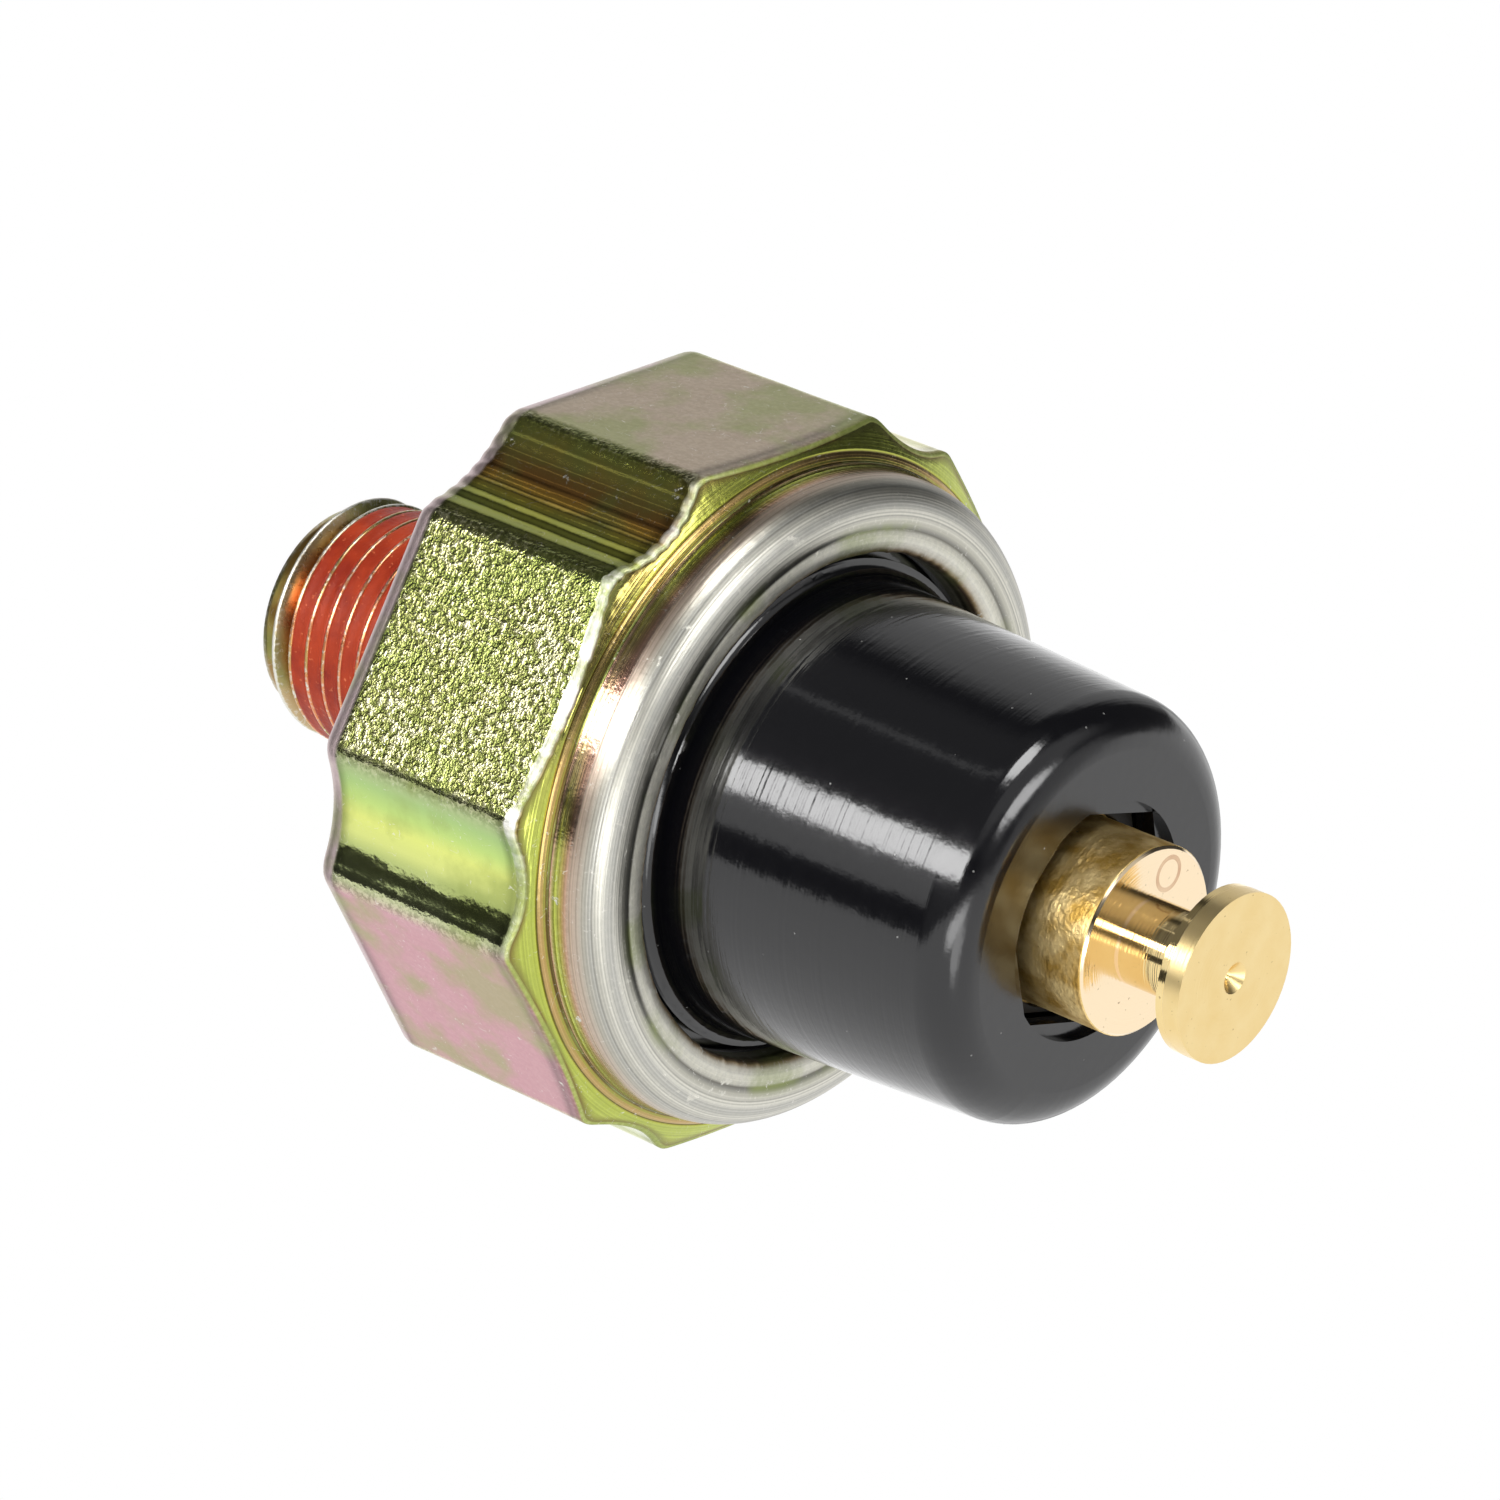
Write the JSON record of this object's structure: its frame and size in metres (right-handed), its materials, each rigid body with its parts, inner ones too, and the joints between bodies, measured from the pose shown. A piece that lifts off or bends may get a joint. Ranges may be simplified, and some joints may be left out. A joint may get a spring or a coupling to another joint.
{
  "type": "oil pressure switch",
  "caption": "Screw-in oil pressure switch: hexagon steel body with taper thread, rolled rim, black insulator and a brass snap terminal; the inner contact lifts under pressure.",
  "frame": {"origin": "centre of the hexagon's rear shoulder, where the taper thread meets the body", "axes": "+Z along the switch from the thread to the terminal; two of the hexagon's flats face +Y and -Y"},
  "size_m": [0.0282, 0.027, 0.0444],
  "materials": {
    "zinc_plated_steel": "yellow iridescent zinc chromate over forged and turned steel",
    "thread_sealant": "dried orange-red anaerobic sealant, satin",
    "brass": "turned brass, lightly aged",
    "nitrile_rubber": "moulded black rubber",
    "polyimide_film": "amber film",
    "plain_steel": "pressed steel",
    "white_nylon": "moulded",
    "silver": "polished contact face",
    "spring_wire": "drawn wire",
    "fibre_gasket": "pressed fibre sheet",
    "black_phenolic": "glossy moulded phenolic with a satin nose face"
  },
  "bodies": {
    "housing": {"hex_body": "zinc_plated_steel", "thread_sealant": "thread_sealant", "port_restrictor": "brass", "seal_ring": "nitrile_rubber", "diaphragm": "polyimide_film", "diaphragm_backing": "polyimide_film", "clamp_ring": "plain_steel", "contact_plate": "brass", "fixed_contacts": "silver", "flange_gasket": "fibre_gasket", "crimp_washer": "plain_steel", "insulator": "black_phenolic", "terminal_stud": "brass", "terminal_seal": "nitrile_rubber", "spring_seat": "brass", "contact_spring": "spring_wire"},
    "pusher": {"pressure_plate": "plain_steel", "pusher": "white_nylon"},
    "moving_contact": {"moving_contact": "brass", "moving_contact_points": "silver"}
  },
  "joints": [
    {"name": "pusher_lift", "type": "slide", "parent": "housing", "child": "pusher", "axis": [0, 0, 1], "range_m": [0, 0.0008], "deforming": ["diaphragm", "diaphragm_backing"]},
    {"name": "contact_lift", "type": "slide", "parent": "housing", "child": "moving_contact", "axis": [0, 0, 1], "range_m": [0, 0.0008], "stiffness_N_per_m": 475, "deforming": ["contact_spring"]}
  ],
  "couplings": [
    {"joint": "contact_lift", "follows": "pusher_lift", "ratio": 1}
  ]
}
